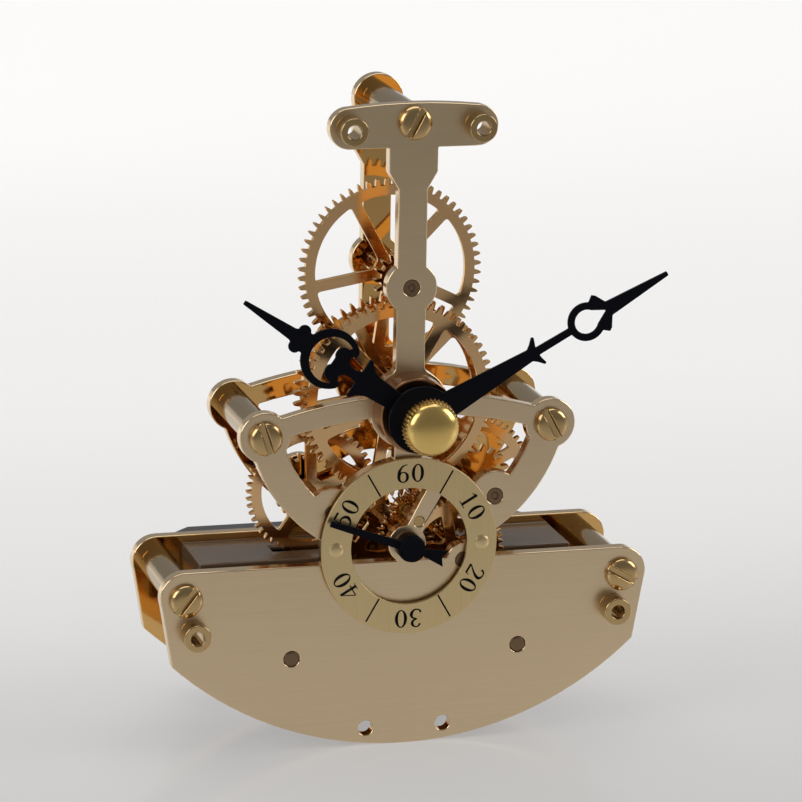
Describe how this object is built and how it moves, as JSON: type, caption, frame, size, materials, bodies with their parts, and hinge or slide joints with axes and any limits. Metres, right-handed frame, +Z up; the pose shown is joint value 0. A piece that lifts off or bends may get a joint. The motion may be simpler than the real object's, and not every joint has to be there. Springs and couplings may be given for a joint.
{
  "type": "skeleton clock movement",
  "caption": "Gold skeleton clock movement between two rocker-shaped plates, with open wheel train, three hands, a seconds dial and a quartz motor.",
  "frame": {"origin": "middle of the footprint in width and depth, at the lowest point of the rocker base", "axes": "+X to the right and +Z up as seen by someone reading the hands, +Y away from them, so the hands face -Y"},
  "size_m": [0.0902, 0.0602, 0.1185],
  "materials": {
    "plate_gold": "brushed champagne gold plate with polished edges",
    "pillar_gold": "satin turned gold",
    "wheel_gold": "polished gold plate",
    "yellow_brass": "turned yellow brass",
    "bush_bronze": "dark bronze",
    "dial_face": "satin pale gold with dark numerals",
    "hand_black": "black lacquer",
    "steel": "bright steel",
    "magnet": "sintered magnet",
    "coil_wire": "enamelled copper wire",
    "board": "green board",
    "motor_plastic": "moulded grey plastic",
    "box_plastic": "moulded black plastic",
    "cell_jacket": "plain printed jacket"
  },
  "bodies": {
    "frame": {"front_plate": "plate_gold", "rear_plate": "plate_gold", "top_pillar": "pillar_gold", "left_ear_pillar": "pillar_gold", "right_ear_pillar": "pillar_gold", "left_base_pillar": "pillar_gold", "right_base_pillar": "pillar_gold", "front_screws": "yellow_brass", "rear_screws": "yellow_brass", "tee_standoffs": "yellow_brass", "base_standoffs": "yellow_brass", "front_bushes": "bush_bronze", "rear_bushes": "bush_bronze", "hand_boss": "pillar_gold", "seconds_dial": "dial_face", "dial_rivets": "dial_face", "reverse_stud": "steel", "reverse_clip": "steel", "motor_case": "motor_plastic", "motor_lid": "motor_plastic", "stator": "steel", "coil": "coil_wire", "circuit_board": "board", "battery_box": "box_plastic", "battery_cell": "cell_jacket", "battery_contacts": "steel"},
    "rotor": {"rotor_shaft": "steel", "rotor_magnet": "magnet"},
    "drive_train": {"drive_arbor": "wheel_gold", "drive_wheel": "wheel_gold", "drive_pinion": "wheel_gold"},
    "seconds_train": {"seconds_arbor": "wheel_gold", "seconds_wheel": "wheel_gold", "seconds_pinion": "wheel_gold", "second_hand": "hand_black"},
    "reverser": {"reverse_pinion": "wheel_gold"},
    "fourth_train": {"fourth_arbor": "wheel_gold", "fourth_wheel": "wheel_gold", "fourth_pinion": "wheel_gold"},
    "third_train": {"third_arbor": "wheel_gold", "third_wheel": "wheel_gold", "third_pinion": "wheel_gold"},
    "minute_train": {"centre_arbor": "wheel_gold", "centre_wheel": "wheel_gold", "cannon_pinion": "wheel_gold", "minute_hand": "hand_black", "hand_nut": "yellow_brass", "setting_knob": "box_plastic"},
    "motion_work": {"motion_arbor": "wheel_gold", "motion_wheel": "wheel_gold", "motion_pinion": "wheel_gold"},
    "hour_train": {"hour_wheel": "wheel_gold", "hour_pipe": "wheel_gold", "hour_hand": "hand_black"}
  },
  "joints": [
    {"name": "seconds_spin", "type": "hinge", "parent": "frame", "child": "seconds_train", "pos_m": [0, 0, 0.0374], "axis": [0, 1, 0], "continuous": true},
    {"name": "rotor_spin", "type": "hinge", "parent": "frame", "child": "rotor", "pos_m": [-0.01442, 0, 0.03012], "axis": [0, 1, 0], "continuous": true},
    {"name": "drive_spin", "type": "hinge", "parent": "frame", "child": "drive_train", "pos_m": [-0.0137, 0, 0.0438], "axis": [0, 1, 0], "continuous": true},
    {"name": "reverse_spin", "type": "hinge", "parent": "frame", "child": "reverser", "pos_m": [0.00213, 0, 0.04143], "axis": [0, 1, 0], "continuous": true},
    {"name": "fourth_spin", "type": "hinge", "parent": "frame", "child": "fourth_train", "pos_m": [0.0106, 0, 0.0338], "axis": [0, 1, 0], "continuous": true},
    {"name": "third_spin", "type": "hinge", "parent": "frame", "child": "third_train", "pos_m": [0.0162, 0, 0.0454], "axis": [0, 1, 0], "continuous": true},
    {"name": "minute_spin", "type": "hinge", "parent": "frame", "child": "minute_train", "pos_m": [0, 0, 0.0624], "axis": [0, 1, 0], "continuous": true},
    {"name": "motion_spin", "type": "hinge", "parent": "frame", "child": "motion_work", "pos_m": [0, 0, 0.0843], "axis": [0, 1, 0], "continuous": true},
    {"name": "hour_spin", "type": "hinge", "parent": "frame", "child": "hour_train", "pos_m": [0, 0, 0.0624], "axis": [0, 1, 0], "continuous": true}
  ],
  "couplings": [
    {"joint": "rotor_spin", "follows": "seconds_spin", "ratio": 9},
    {"joint": "drive_spin", "follows": "seconds_spin", "ratio": -1.5},
    {"joint": "reverse_spin", "follows": "seconds_spin", "ratio": -1},
    {"joint": "fourth_spin", "follows": "seconds_spin", "ratio": 0.25},
    {"joint": "third_spin", "follows": "seconds_spin", "ratio": -0.05},
    {"joint": "minute_spin", "follows": "seconds_spin", "ratio": 0.016667},
    {"joint": "motion_spin", "follows": "seconds_spin", "ratio": -0.0055556},
    {"joint": "hour_spin", "follows": "seconds_spin", "ratio": 0.0013889}
  ]
}
